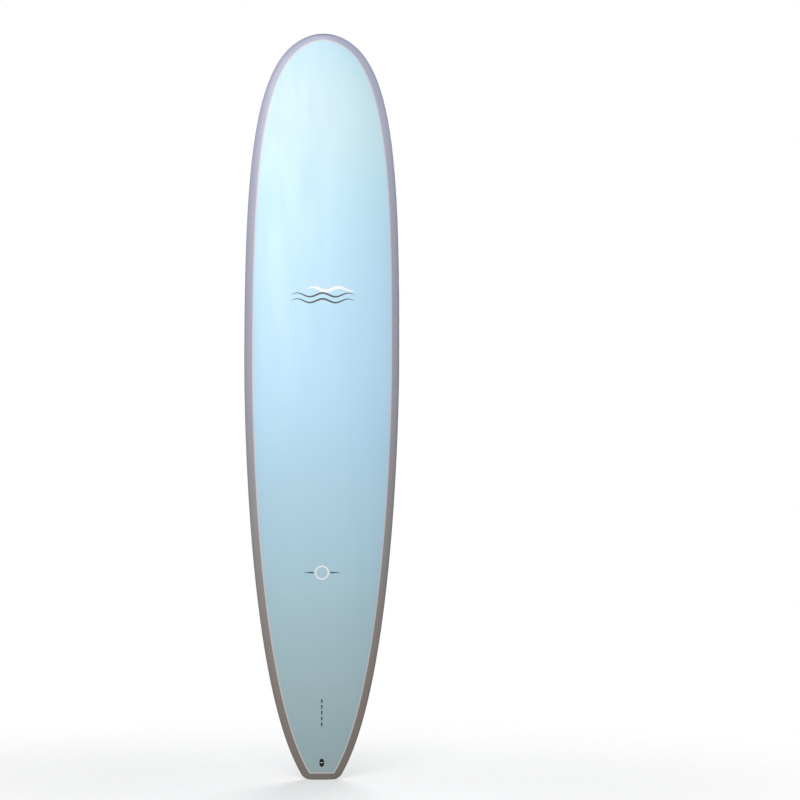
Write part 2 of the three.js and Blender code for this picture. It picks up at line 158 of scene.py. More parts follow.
def tip_arc(steps):
    """The nose tip's arc up to the centre line, without its first point."""
    turns = [NOSE_TURN * i / steps for i in range(steps - 1, -1, -1)]
    return [(*on_nose_arc(turn), math.sin(turn), math.cos(turn)) for turn in turns]


nose_side = bezier(
    [
        (HALF_WIDTH, WIDE_POINT),
        (HALF_WIDTH, WIDE_POINT + ABOVE_WIDE_PULL),
        on_nose_arc(NOSE_TURN, NOSE_ARC_PULL),
        on_nose_arc(NOSE_TURN),
    ],
    NOSE_SIDE_STEPS,
)
sides = tail_side + nose_side[1:] + tip_arc(TIP_STEPS)


def look_up(points, z):
    """x at z on a line of (x, z) points that rises in z."""
    i = min(max(bisect_right(points, z, key=lambda p: p[1]), 1), len(points) - 1)
    (x0, z0), (x1, z1) = points[i - 1], points[i]
    share = min(max((z - z0) / (z1 - z0), 0), 1)
    return x0 + (x1 - x0) * share


edge_line = [(x, z) for x, z, _, _ in corner_arc(CORNER_STEPS) + sides]


def inset_line(side, end):
    """The outline moved in by side at the rails and by end at the nose, with sharp tail corners."""
    sharp_corner = (TAIL_HALF_WIDTH, 0.0, math.sin(TAIL_SIDE_ANGLE), -math.cos(TAIL_SIDE_ANGLE))
    found = []
    for x, z, nx, nz in [sharp_corner, *sides]:
        band = math.hypot(side * nx, end * nz)
        found.append((max(0.0, x - band * nx), z - band * nz))
    return found


band_line = inset_line(SIDE_BAND, END_BAND)
panel_line = inset_line(SIDE_BAND + PINLINE, END_BAND + PINLINE)


def half_width(z):
    """From the centre line to the board's edge."""
    return look_up(edge_line, z)


def inside_half_width(line, end, z):
    """Half-width inside an inset line, carried on towards the tail in proportion to the board."""
    if z >= LENGTH - end - 1e-9:
        return 0.0
    if z <= end:
        return look_up(line, end) * half_width(z) / half_width(end)
    return look_up(line, z)


def thickness(z):
    """Deck to bottom at the centre line, rounded off at the nose."""
    if z < THICK_POINT:
        away, end, power = (THICK_POINT - z) / THICK_POINT, TAIL_THICKNESS, TAIL_FOIL_POWER
    else:
        away = (z - THICK_POINT) / (LENGTH - THICK_POINT)
        end, power = NOSE_THICKNESS, NOSE_FOIL_POWER
    edge = max(0.0, (z - LENGTH + NOSE_EDGE) / NOSE_EDGE)
    foil = THICKNESS - (THICKNESS - end) * away**power
    return foil * math.sqrt(max(0.0, 1 - edge**2))


def rocker(z):
    """How far the board has risen towards the deck side."""
    if z < ROCKER_LOW_POINT:
        return TAIL_ROCKER * ((ROCKER_LOW_POINT - z) / ROCKER_LOW_POINT) ** TAIL_ROCKER_POWER
    rise = (z - ROCKER_LOW_POINT) / (LENGTH - ROCKER_LOW_POINT)
    return NOSE_ROCKER * rise**NOSE_ROCKER_POWER


def tail_to_nose(pair, z):
    """A value that runs evenly from its tail value to its nose value."""
    return pair[0] + (pair[1] - pair[0]) * z / LENGTH


def surface_y(side, z, share, inset=0.0):
    """Y of the deck or the bottom at a share of the half-width."""
    thick = thickness(z) - 2 * inset
    rail = tail_to_nose(RAIL_SHARES, z) * thick
    power = DECK_POWER if side == "deck" else tail_to_nose(BOTTOM_POWERS, z)
    arc = math.sqrt(max(0.0, 1 - min(1.0, abs(share)) ** power))
    height = rail + (thick - rail) * arc if side == "deck" else rail * (1 - arc)
    return BELLY_Y - rocker(z) - inset - height


def on_surface(side, x, z, lift=0.0):
    """A point on the deck or the bottom, lifted outwards."""
    outwards = -1 if side == "deck" else 1
    return Vector((x, surface_y(side, z, x / half_width(z)) + outwards * lift, z))


# ---- Mesh helpers ----

def new_object(name, mesh):
    """An object in the scene with this data."""
    obj = bpy.data.objects.new(name, mesh)
    bpy.context.scene.collection.objects.link(obj)
    return obj


def object_from(name, points, faces):
    """A mesh object from points and faces."""
    mesh = bpy.data.meshes.new(name)
    mesh.from_pydata([tuple(p) for p in points], [], faces)
    return new_object(name, mesh)


def shade(obj, sharp_degrees=35):
    """Smooth shading with sharp edges above an angle."""
    for polygon in obj.data.polygons:
        polygon.use_smooth = True
    obj.data.set_sharp_from_angle(angle=math.radians(sharp_degrees))


def face_outwards(mesh):
    """Turns a closed mesh's faces outwards and gives its vertices' normals."""
    tidy = bmesh.new()
    tidy.from_mesh(mesh)
    bmesh.ops.recalc_face_normals(tidy, faces=tidy.faces)
    tidy.normal_update()
    normals = [vertex.normal.copy() for vertex in tidy.verts]
    tidy.to_mesh(mesh)
    tidy.free()
    return normals


def boolean(obj, tool, operation):
    """Applies one boolean and deletes its tool."""
    modifier = obj.modifiers.new("cut", "BOOLEAN")
    modifier.object = tool
    modifier.operation = operation
    modifier.solver = "EXACT"
    apply_modifiers(obj)
    bpy.data.objects.remove(tool)


def apply_modifiers(obj):
    """Keeps the shape the modifiers give and removes them."""
    graph = bpy.context.evaluated_depsgraph_get()
    mesh = bpy.data.meshes.new_from_object(obj.evaluated_get(graph))
    obj.modifiers.clear()
    obj.data = mesh


BEVEL_ANGLE = math.radians(40)


def finish_edges(obj, width, segments=2):
    """Rounds a piece's sharp edges, then shades it."""
    modifier = obj.modifiers.new("edge", "BEVEL")
    modifier.width = width
    modifier.segments = segments
    modifier.limit_method = "ANGLE"
    modifier.angle_limit = BEVEL_ANGLE
    apply_modifiers(obj)
    shade(obj)


# ---- Skins ----

TAIL_EDGE_ROWS = 6
TAIL_ARC_ROWS = 14
BODY_ROWS = 190
NOSE_ROWS = 26
PANEL_END_ROWS = 6
TIP_ROWS = 16
NOSE_SPAN = 150 * MM
RAIL_COLUMNS = 12
PANEL_COLUMNS = 22
BOTTOM_COLUMNS = 34


def squared_steps(far, near, steps):
    """Values from far to near, closing up towards near. far is left out."""
    return [near + (far - near) * (1 - i / steps) ** 2 for i in range(1, steps + 1)]


def skin_rows():
    """(z, inset) of each row of the surface, from the tail end to the nose tip."""
    rows = []
    for i in range(TAIL_EDGE_ROWS):
        turn = math.pi / 2 * i / TAIL_EDGE_ROWS
        rows.append((TAIL_EDGE * (1 - math.cos(turn)), TAIL_EDGE * (1 - math.sin(turn))))
    for i in range(TAIL_ARC_ROWS + 1):
        rows.append((TAIL_EDGE + (END_BAND - TAIL_EDGE) * i / TAIL_ARC_ROWS, 0.0))
    inner_tail = END_BAND + PINLINE
    rows += [(END_BAND + PINLINE / 2, 0.0), (inner_tail, 0.0)]
    nose_start = LENGTH - END_BAND - PINLINE - NOSE_SPAN
    for i in range(1, BODY_ROWS + 1):
        rows.append((inner_tail + (nose_start - inner_tail) * i / BODY_ROWS, 0.0))
    panel_end = LENGTH - END_BAND - PINLINE
    band_end = LENGTH - END_BAND
    for z in squared_steps(nose_start, panel_end, NOSE_ROWS):
        rows.append((z, 0.0))
    for z in squared_steps(panel_end, band_end, PANEL_END_ROWS):
        rows.append((z, 0.0))
    for z in squared_steps(band_end, LENGTH, TIP_ROWS):
        rows.append((z, 0.0))
    return rows


def deck_columns(z, half):
    """Half of a deck row's x values, rail to centre line, and the part each step belongs to."""
    scale = half / half_width(z) if half_width(z) > 0 else 0.0
    band = inside_half_width(band_line, END_BAND, z) * scale
    panel = min(band, inside_half_width(panel_line, END_BAND + PINLINE, z) * scale)
    xs = [half - (half - band) * (i / RAIL_COLUMNS) ** 2 for i in range(RAIL_COLUMNS + 1)]
    xs += [panel * (1 - i / PANEL_COLUMNS) for i in range(PANEL_COLUMNS + 1)]
    parts = ["rail"] * RAIL_COLUMNS + ["pin"] + ["panel"] * PANEL_COLUMNS
    return xs, parts


def skin_piece_of(z, part):
    """Which of the three skins a patch of the deck belongs to."""
    from_end = min(z, LENGTH - z)
    if part == "rail" or from_end < END_BAND:
        return "bottom_laminate"
    if part == "pin" or from_end < END_BAND + PINLINE:
        return "pinline"
    return "deck_laminate"


def board_surface():
    """Vertices and faces of the whole closed surface, each face with its skin's name."""
    points, lookup, faces = [], {}, []

    def vertex(x, y, z):
        key = (round(x * 1e7), round(y * 1e7), round(z * 1e7))
        if key not in lookup:
            lookup[key] = len(points)
            points.append(Vector((x, y, z)))
        return lookup[key]

    def face(corners, piece):
        unique = list(dict.fromkeys(corners))
        if len(unique) > 2:
            faces.append((unique, piece))

    rows = skin_rows()
    across = 2 * BOTTOM_COLUMNS
    bottom_shares = [math.cos(math.pi * i / across) for i in range(across + 1)]
    deck, bottom, parts = [], [], []
    for z, inset in rows:
        half = max(0.0, half_width(z) - inset)
        right, half_parts = deck_columns(z, half)
        xs = right + [-x for x in reversed(right[:-1])]
        parts = half_parts + half_parts[::-1]
        deck_shares = [x / half if half else 0 for x in xs]
        deck.append([
            vertex(x, surface_y("deck", z, share, inset), z) for x, share in zip(xs, deck_shares)
        ])
        bottom.append([
            vertex(half * share, surface_y("bottom", z, share, inset), z) for share in bottom_shares
        ])
    for i, (z, _) in enumerate(rows[:-1]):
        middle = (z + rows[i + 1][0]) / 2
        for j, part in enumerate(parts):
            corners = [deck[i][j], deck[i][j + 1], deck[i + 1][j + 1], deck[i + 1][j]]
            face(corners, skin_piece_of(middle, part))
        for j in range(across):
            corners = [bottom[i][j], bottom[i + 1][j], bottom[i + 1][j + 1], bottom[i][j + 1]]
            face(corners, "bottom_laminate")
    face(bottom[0] + deck[0][::-1], "bottom_laminate")
    return points, faces


board_points, board_faces = board_surface()
board_solid = object_from("board_solid", board_points, [corners for corners, _ in board_faces])
outward = face_outwards(board_solid.data)


def skin_piece(name):
    """One skin as a closed shell: outer faces, inner faces and the rims between them."""
    own = [corners for corners, piece in board_faces if piece == name]
    used = sorted({i for corners in own for i in corners})
    place = {i: k for k, i in enumerate(used)}
    shell = [board_points[i] for i in used]
    shell += [board_points[i] - outward[i] * SKIN for i in used]
    count = len(used)
    outer = [[place[i] for i in corners] for corners in own]
    inner = [[k + count for k in reversed(corners)] for corners in outer]
    border = {}
    for corners in outer:
        for a, b in zip(corners, corners[1:] + corners[:1]):
            if (b, a) in border:
                del border[(b, a)]
            else:
                border[(a, b)] = True
    rims = [[b, a, a + count, b + count] for a, b in border]
    obj = object_from(name + "_skin", shell, outer + inner + rims)
    face_outwards(obj.data)
    return obj


deck_skin = skin_piece("deck_laminate")
pin_skin = skin_piece("pinline")
bottom_skin = skin_piece("bottom_laminate")
shade(board_solid)


# ---- Fittings ----

CENTRE = {
    "z": 252 * MM,
    "flange": (268 * MM, 22 * MM, 3 * MM),
    "body": (262 * MM, 18 * MM, 24 * MM),
    "slot": (250 * MM, 10.4 * MM, 20 * MM),
    "track_width": 14 * MM,
    "track_top": 9 * MM,
    "track_height": 4.5 * MM,
    "entry": (9.8 * MM, 13.5 * MM),
    "under_skin": 1.3 * MM,
    "boss_radius": 11.6 * MM,
}
SIDE = {
    "x": 177 * MM,
    "z": 442 * MM,
    "toe_in": math.radians(2),
    "body": (105 * MM, 15 * MM, 16 * MM),
    "tab": (30 * MM, 6.4 * MM, 13 * MM),
    "tab_offset": 29 * MM,
    "ear": (5.6 * MM, 11 * MM),
    "ear_x": 9 * MM,
    "ear_behind_tab": 8.5 * MM,
}
SCREW = {
    "radius": 2.5 * MM,
    "length": 6 * MM,
    "tilt": math.radians(30),
    "sunk": 1 * MM,
    "chamfer": 0.4 * MM,
    "socket": (1.4 * MM, 2.5 * MM),
    "bore_clearance": 0.1 * MM,
    "bore_depth": 12 * MM,
    "pitch": 0.8 * MM,
    "thread_depth": 0.3 * MM,
    "crest": (0.4, 0.5),  # shares of the pitch where the thread is full, and
    "root_from": 0.9,  # where it is back at its root
}
LEASH = {
    "z": 63 * MM,
    "lobe_offset": 6.6 * MM,
    "rim_radius": 8.2 * MM,
    "pocket": (6.2 * MM, 13.5 * MM),
    "waist": 8 * MM,
    "body_radius": 10 * MM,
    "body_top": 1.45 * MM,
    "depth": 16 * MM,
    "pin_radius": 2.2 * MM,
    "pin_depth": 4.4 * MM,
    "pin_length": 15 * MM,
}
ABOVE = 6 * MM  # how far a cutting tool starts above the surface
BOX_EDGE = 0.25 * MM
CUP_EDGE = 0.4 * MM

# The patch of surface that a fitting's top is trimmed to, in the fitting's own frame.
TRIM_HALF_X = 30 * MM
TRIM_HALF_Z = 150 * MM
TRIM_STEPS_X = 8
TRIM_STEPS_Z = 30


def fitting_frame(side, x, z, turn=0.0):
    """Frame on the surface with Y out of the board and Z towards the nose."""
    step = 5 * MM
    along = (on_surface(side, x, z + step) - on_surface(side, x, z - step)).normalized()
    across = (on_surface(side, x + step, z) - on_surface(side, x - step, z)).normalized()
    out = along.cross(across).normalized()
    if side == "deck":
        out.negate()
    basis = Matrix((out.cross(along).normalized(), out, along)).transposed().to_4x4()
    return Matrix.Translation(on_surface(side, x, z)) @ basis @ Matrix.Rotation(turn, 4, "Y")


def stadium(length, width, sides=16):
    """Plan points of a slot with round ends along Z."""
    straight, radius = (length - width) / 2, width / 2
    found = []
    for end in (1, -1):
        for i in range(sides + 1):
            turn = math.pi * i / sides + (0 if end > 0 else math.pi)
            found.append((radius * math.cos(turn), end * straight + radius * math.sin(turn)))
    return found


def disc(radius, x=0.0, z=0.0, sides=40):
    """Plan points of a circle."""
    turns = [2 * math.pi * i / sides for i in range(sides)]
    return [(x + radius * math.cos(t), z + radius * math.sin(t)) for t in turns]


def closed(name, points, faces):
    """A closed mesh whose faces point out."""
    obj = object_from(name, points, faces)
    face_outwards(obj.data)
    return obj


def prism(shape, top, depth):
    """A plan shape between the heights top and top - depth."""
    count = len(shape)
    points = [(x, top, z) for x, z in shape] + [(x, top - depth, z) for x, z in shape]
    faces = [list(range(count)), list(range(2 * count - 1, count - 1, -1))]
    for i in range(count):
        j = (i + 1) % count
        faces.append([i, i + count, j + count, j])
    return closed("prism", points, faces)


def lathe(profile, sides=40):
    """A turned shape round Y from (radius, height) points, the first and last of them on the axis."""
    points, faces = [], []
    rings = profile[1:-1]
    for radius, y in rings:
        turns = [2 * math.pi * i / sides for i in range(sides)]
        points += [(radius * math.cos(t), y, radius * math.sin(t)) for t in turns]
    for k in range(len(rings) - 1):
        for i in range(sides):
            j = (i + 1) % sides
            faces.append([k * sides + i, k * sides + j, (k + 1) * sides + j, (k + 1) * sides + i])
    first, last = len(points), len(points) + 1
    points += [(0, profile[0][1], 0), (0, profile[-1][1], 0)]
    for i in range(sides):
        j = (i + 1) % sides
        faces.append([first, i, j])
        faces.append([last, first - sides + j, first - sides + i])
    return closed("lathe", points, faces)


def union(parts):
    """Joins closed meshes into the first of them."""
    whole = parts[0]
    for part in parts[1:]:
        boolean(whole, part, "UNION")
    return whole


def cut(obj, *tools):
    """Takes each tool away from a mesh."""
    for tool in tools:
        boolean(obj, tool, "DIFFERENCE")
    return obj


def at(obj, frame_matrix):
    """Moves a mesh from its own frame to its place."""
    obj.data.transform(frame_matrix)
    return obj


def together(objects):
    """Separate closed meshes as one object, to cut with in one go."""
    joined = bmesh.new()
    for obj in objects:
        joined.from_mesh(obj.data)
        bpy.data.objects.remove(obj)
    mesh = bpy.data.meshes.new("together")
    joined.to_mesh(mesh)
    joined.free()
    return new_object("together", mesh)


def centre_slot(grow, depth):
    """The fin slot with its round entry, as a cutting tool."""
    length, width, _ = CENTRE["slot"]
    radius, entry_depth = CENTRE["entry"]
    slot = prism(stadium(length + 2 * grow, width + 2 * grow), ABOVE, depth + ABOVE)
    entry = prism(disc(radius + grow), ABOVE, min(depth, entry_depth) + ABOVE)
    return union([slot, entry])


def screw_places(inboard):
    """Where a side box's screws stand: the front one inboard and the rear one outboard."""
    x, behind, offset = SIDE["ear_x"], SIDE["ear_behind_tab"], SIDE["tab_offset"]
    return {"front": (inboard * x, offset - behind), "rear": (-inboard * x, -offset - behind)}


def screw_axis(place):
    """Frame of a screw, its top tilted outwards from the tab slot."""
    x, z = place
    turn = -math.copysign(SCREW["tilt"], x)
    return Matrix.Translation((x, 0, z)) @ Matrix.Rotation(turn, 4, "Z")


def side_envelope(inboard, grow):
    """A side box's outside: a long body with an ear at each screw."""
    length, width, depth = SIDE["body"]
    radius, ear_depth = SIDE["ear"]
    parts = [prism(stadium(length + 2 * grow, width + 2 * grow), ABOVE, depth + grow + ABOVE)]
    for x, z in screw_places(inboard).values():
        parts.append(prism(disc(radius + grow, x, z), ABOVE, ear_depth + grow + ABOVE))
    return union(parts)


def leash_lobes(radius, top, depth):
    """Two round columns, one at each end of the cup."""
    offset = LEASH["lobe_offset"]
    return union([prism(disc(radius, 0, end * offset), top, depth) for end in (-1, 1)])


def round_both_lobes(radius):
    """Plan points of the slot shape round both pockets."""
    return stadium(2 * (LEASH["lobe_offset"] + radius), 2 * radius)


def trim_to_board(obj, frame_matrix, under):
    """Brings a fitting's top down to the board's surface, or to a distance under it."""
    inverse = frame_matrix.inverted()
    points, faces = [], []
    for i in range(TRIM_STEPS_Z + 1):
        for j in range(TRIM_STEPS_X + 1):
            x = -TRIM_HALF_X + 2 * TRIM_HALF_X * j / TRIM_STEPS_X
            z = -TRIM_HALF_Z + 2 * TRIM_HALF_Z * i / TRIM_STEPS_Z
            spot = frame_matrix @ Vector((x, 0, z))
            found = inverse @ on_surface("bottom", spot.x, spot.z, -under)
            points.append(Vector((x, found.y, z)))
    count = len(points)
    points += [Vector((p.x, 3 * ABOVE, p.z)) for p in points]
    row = TRIM_STEPS_X + 1
    for i in range(TRIM_STEPS_Z):
        for j in range(TRIM_STEPS_X):
            a = i * row + j
            faces.append([a, a + 1, a + row + 1, a + row])
            faces.append([a + count, a + row + count, a + row + 1 + count, a + 1 + count])
    border = (
        list(range(row))
        + [i * row + TRIM_STEPS_X for i in range(1, TRIM_STEPS_Z + 1)]
        + [TRIM_STEPS_Z * row + j for j in range(TRIM_STEPS_X - 1, -1, -1)]
        + [i * row for i in range(TRIM_STEPS_Z - 1, 0, -1)]
    )
    for a, b in zip(border, border[1:] + border[:1]):
        faces.append([a, b, b + count, a + count])
    boolean(obj, closed("over", points, faces), "DIFFERENCE")
    return obj


centre_frame = fitting_frame("bottom", 0.0, CENTRE["z"])
leash_frame = fitting_frame("deck", 0.0, LEASH["z"])
side_frames = {
    name: (-sign, fitting_frame("bottom", sign * SIDE["x"], SIDE["z"], -sign * SIDE["toe_in"]))
    for name, sign in (("port", -1), ("starboard", 1))
}


def centre_fin_box():
    """Long box with a flange under the skin, a T slot and a round entry."""
    length, width, thick = CENTRE["flange"]
    body_length, body_width, depth = CENTRE["body"]
    slot_length, _, slot_depth = CENTRE["slot"]
    box = union([
        prism(stadium(length, width), ABOVE, CENTRE["under_skin"] + thick + ABOVE),
        prism(stadium(body_length, body_width), ABOVE, depth + ABOVE),
        prism(disc(CENTRE["boss_radius"]), ABOVE, depth + ABOVE),
    ])
    trim_to_board(box, centre_frame, CENTRE["under_skin"])
    track_shape = stadium(slot_length, CENTRE["track_width"])
    track = prism(track_shape, -CENTRE["track_top"], CENTRE["track_height"])
    cut(box, centre_slot(0.0, slot_depth), track)
    finish_edges(box, BOX_EDGE)
    return at(box, centre_frame)


def side_fin_box(inboard, frame_matrix):
    """Box with two tab slots and two tilted screw bores."""
    box = trim_to_board(side_envelope(inboard, 0.0), frame_matrix, 0.0)
    length, width, depth = SIDE["tab"]
    for end in (-1, 1):
        shape = [(x, z + end * SIDE["tab_offset"]) for x, z in stadium(length, width)]
        cut(box, prism(shape, ABOVE, depth + ABOVE))
    radius = SCREW["radius"] + SCREW["bore_clearance"]
    for place in screw_places(inboard).values():
        bore = prism(disc(radius), ABOVE, ABOVE + SCREW["bore_depth"])
        cut(box, at(bore, screw_axis(place)))
    finish_edges(box, BOX_EDGE)
    return at(box, frame_matrix)


def fin_screw():
    """Headless screw with a thread and a hexagon socket, its top end at Y 0."""
    radius, length, chamfer = SCREW["radius"], SCREW["length"], SCREW["chamfer"]
    root = radius - SCREW["thread_depth"]
    profile = [(0, -length), (root - chamfer, -length), (root, -length + chamfer)]
    threads = int((length - 2 * chamfer) / SCREW["pitch"])
    start = -length + chamfer
    for i in range(threads):
        y = start + i * SCREW["pitch"]
        profile += [(radius, y + share * SCREW["pitch"]) for share in SCREW["crest"]]
        profile.append((root, y + SCREW["root_from"] * SCREW["pitch"]))
    profile += [(root, -chamfer), (root - chamfer, 0), (0, 0)]
    socket_radius, socket_depth = SCREW["socket"]
    socket = prism(disc(socket_radius, sides=6), ABOVE, ABOVE + socket_depth)
    return cut(lathe(profile), socket)


def leash_cup():
    """Cup with a rim in the deck and a wider body under it, two round pockets and a pin's bore."""
    pocket_radius, pocket_depth = LEASH["pocket"]
    under, depth = LEASH["body_top"], LEASH["depth"]
    cup = union([
        prism(round_both_lobes(LEASH["rim_radius"]), 0.0, depth),
        prism(round_both_lobes(LEASH["body_radius"]), -under, depth - under),
    ])
    waist = stadium(2 * LEASH["lobe_offset"] + LEASH["waist"], LEASH["waist"])
    cut(
        cup,
        leash_lobes(pocket_radius, ABOVE, pocket_depth + ABOVE),
        prism(waist, ABOVE, pocket_depth + ABOVE),
        leash_pin(GAP),
    )
    finish_edges(cup, CUP_EDGE, 3)
    return at(cup, leash_frame)


PIN_END_STEPS = 4


def leash_pin(grow):
    """Steel pin across the cup, with rounded ends."""
    radius, length = LEASH["pin_radius"] + grow, LEASH["pin_length"] + 2 * grow
    round_off = radius / 4
    profile = [(0, -length / 2)]
    for end in (-1, 1):
        for i in range(PIN_END_STEPS + 1):
            step = i if end < 0 else PIN_END_STEPS - i
            turn = math.pi / 2 * step / PIN_END_STEPS
            out = radius - round_off * (1 - math.sin(turn))
            profile.append((out, end * (length / 2 - round_off * (1 - math.cos(turn)))))
    profile.append((0, length / 2))
    pin = lathe(profile)
    depth = Matrix.Translation((0, -LEASH["pin_depth"], 0))
    return at(pin, depth @ Matrix.Rotation(math.pi / 2, 4, "Z"))


# ---- Pieces ----

def like_board(obj):
    """Takes a skin's outer normals from the whole board, so that its cuts and seams don't show."""
    shade(obj)
    modifier = obj.modifiers.new("normals", "DATA_TRANSFER")
    modifier.object = board_solid
    modifier.use_loop_data = True
    modifier.data_types_loops = {"CUSTOM_NORMAL"}
    modifier.loop_mapping = "POLYINTERP_NEAREST"
    modifier.use_max_distance = True
    modifier.max_distance = SKIN / 3
    apply_modifiers(obj)


hole = at(prism(round_both_lobes(LEASH["rim_radius"] + GAP), ABOVE, 3 * ABOVE), leash_frame)
boolean(deck_skin, hole, "DIFFERENCE")
holes = [at(centre_slot(GAP, 3 * SKIN), centre_frame)]
holes += [at(side_envelope(inboard, GAP), matrix) for inboard, matrix in side_frames.values()]
boolean(bottom_skin, together(holes), "DIFFERENCE")
for skin in (deck_skin, pin_skin, bottom_skin):
    like_board(skin)


def piece(obj, name, node, slot, body="board"):
    """Names a visual piece, hides the CAD node it stands for, and sets what it moves with."""
    obj.name = name
    obj.data.name = name
    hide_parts(node)
    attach(obj, body)
    return obj


painted = {
    "deck": piece(deck_skin, "deck_panel", "deck_laminate", "deck_blue"),
    "pin": piece(pin_skin, "pinline_stripe", "pinline", "pinline"),
    "bottom": piece(bottom_skin, "rails_and_bottom", "bottom_laminate", "rail_grey"),
}
box_pieces = [piece(centre_fin_box(), "centre_fin_box_fine", "centre_fin_box", "black_plastic")]
clear_pieces, steel_pieces = [], []
for name, (inboard, matrix) in side_frames.items():
    box = side_fin_box(inboard, matrix)
    box_node = f"side_fin_box_{name}"
    clear_pieces.append(piece(box, box_node + "_fine", box_node, "clear_plastic"))
    for end, place in screw_places(inboard).items():
        sunk = Matrix.Translation((0, -SCREW["sunk"], 0))
        screw = at(fin_screw(), matrix @ screw_axis(place) @ sunk)
        shade(screw, 30)
        screw_node = f"fin_screw_{name}_{end}"
        body = f"screw_{name}_{end}"
        steel_pieces.append(piece(screw, screw_node + "_fine", screw_node, "steel", body))
box_pieces.append(piece(leash_cup(), "leash_cup_fine", "leash_cup", "black_plastic"))
pin = at(leash_pin(0.0), leash_frame)
shade(pin)
steel_pieces.append(piece(pin, "leash_pin_fine", "leash_pin", "steel"))


# ---- Painted marks ----
# Plain strokes and bars stand where a maker's graphics would be. None of them is a letter or a known mark.

MARK_THICKNESS = 0.12 * MM


def stroke(name, side, path, width, cyclic=False):
    """A flat line of paint that follows the surface along (x, z) points, with one width or many."""
    count = len(path)
    widths = width if isinstance(width, list) else [width] * count
    points, faces = [], []
    for i, (x, z) in enumerate(path):
        before = path[(i - 1) % count] if cyclic else path[max(i - 1, 0)]
        after = path[(i + 1) % count] if cyclic else path[min(i + 1, count - 1)]
        along = Vector((after[0] - before[0], after[1] - before[1])).normalized()
        for lift in (-MARK_THICKNESS, MARK_THICKNESS):
            for edge in (-1, 1):
                px = x + edge * widths[i] / 2 * along.y
                pz = z - edge * widths[i] / 2 * along.x
                points.append(on_surface(side, px, pz, lift))
    for i in range(count if cyclic else count - 1):
        a, b = 4 * i, 4 * ((i + 1) % count)
        for p, q in ((0, 1), (1, 3), (3, 2), (2, 0)):
            faces.append([a + p, a + q, b + q, b + p])
    if not cyclic:
        faces += [[0, 2, 3, 1], [4 * count - 4, 4 * count - 3, 4 * count - 1, 4 * count - 2]]
    obj = closed(name, points, faces)
    shade(obj)
    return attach(obj, "board")


def wave(x_from, x_to, z, height, waves, steps=72):
    """Points of a sine wave across the board."""
    found = []
    for i in range(steps + 1):
        share = i / steps
        x = x_from + (x_to - x_from) * share
        found.append((x, z + height * math.sin(2 * math.pi * waves * share)))
    return found


def tapered(width, steps=72):
    """Stroke widths that run to a point at both ends."""
    return [width * max(0.04, math.sin(math.pi * i / steps) ** 0.6) for i in range(steps + 1)]


def ring(x, z, radius_x, radius_z, steps=72):
    """Points of an ellipse."""
    turns = [2 * math.pi * i / steps for i in range(steps)]
    return [(x + radius_x * math.cos(t), z + radius_z * math.sin(t)) for t in turns]


BAR_STEPS = 20


def straight(x_from, x_to, z):
    """Points of a straight line across the board."""
    return [(x_from + (x_to - x_from) * i / BAR_STEPS, z) for i in range(BAR_STEPS + 1)]


white_marks, dark_marks, red_marks = [], [], []

# Deck: two dark wave strokes under a shorter white one.
WAVES_Z = 1818 * MM
WAVES_APART = 22 * MM
WAVES_REACH = 120 * MM
WAVE_HEIGHT = 7 * MM
WAVE_LENGTH = 96 * MM
for i, drop in enumerate((0.0, -WAVES_APART)):
    count = 2 * WAVES_REACH / WAVE_LENGTH
    path = wave(-WAVES_REACH, WAVES_REACH, WAVES_Z + drop, WAVE_HEIGHT, count)
    dark_marks.append(stroke(f"deck_wave_{i + 1}", "deck", path, tapered(7 * MM)))
count = 1.5 * WAVES_REACH / WAVE_LENGTH
path = wave(-WAVES_REACH / 2, WAVES_REACH, WAVES_Z + WAVES_APART, WAVE_HEIGHT, count)
white_marks.append(stroke("deck_wave_3", "deck", path, tapered(13 * MM)))

# Deck: a white ring with a pointed dark bar on each side.
SUN_Z = 775 * MM
SUN_RADIUS = 24 * MM
SUN_LINE = 6 * MM
SUN_BAR = (32 * MM, 66 * MM)
SUN_BAR_POINT = 1.5 * MM
sun = ring(0, SUN_Z, SUN_RADIUS, SUN_RADIUS)
white_marks.append(stroke("deck_sun_ring", "deck", sun, SUN_LINE, True))
for sign, side_name in ((-1, "port"), (1, "starboard")):
    path = straight(sign * SUN_BAR[0], sign * SUN_BAR[1], SUN_Z)
    widths = [SUN_LINE - (SUN_LINE - SUN_BAR_POINT) * i / BAR_STEPS for i in range(BAR_STEPS + 1)]
    dark_marks.append(stroke(f"deck_sun_bar_{side_name}", "deck", path, widths))

# Deck: a row of short bars along the centre line.
BARS_Z = 250 * MM
BARS_APART = 22 * MM
BAR_HALF_LENGTH = 7 * MM
for i in range(5):
    middle = BARS_Z + (i - 2) * BARS_APART
    path = [(0, middle + share * BAR_HALF_LENGTH) for share in (-1, 0, 1)]
    dark_marks.append(stroke(f"deck_bar_{i + 1}", "deck", path, 5 * MM))

# Bottom: an oval badge with a wave in it near the nose.
BADGE_Z = 2405 * MM
badge = ring(0, BADGE_Z, 84 * MM, 39 * MM)
dark_marks.append(stroke("bottom_badge_ring", "bottom", badge, 4 * MM, True))
path = wave(-58 * MM, 58 * MM, BADGE_Z, 9 * MM, 2)
dark_marks.append(stroke("bottom_badge_wave", "bottom", path, tapered(7 * MM)))

# Bottom: a thick ring and a two-coloured flash in front of the centre box.
RING_Z = 455 * MM
RING_RADIUS = 16 * MM
FLASH_Z = 405 * MM
FLASH_LENGTH = 31 * MM
thick_ring = ring(0, RING_Z, RING_RADIUS, RING_RADIUS)
dark_marks.append(stroke("bottom_ring", "bottom", thick_ring, 15 * MM, True))
for name, start, marks in (("port", -33 * MM, white_marks), ("starboard", 2 * MM, red_marks)):
    path = straight(start, start + FLASH_LENGTH, FLASH_Z)
    marks.append(stroke(f"bottom_flash_{name}", "bottom", path, tapered(13 * MM, BAR_STEPS)))

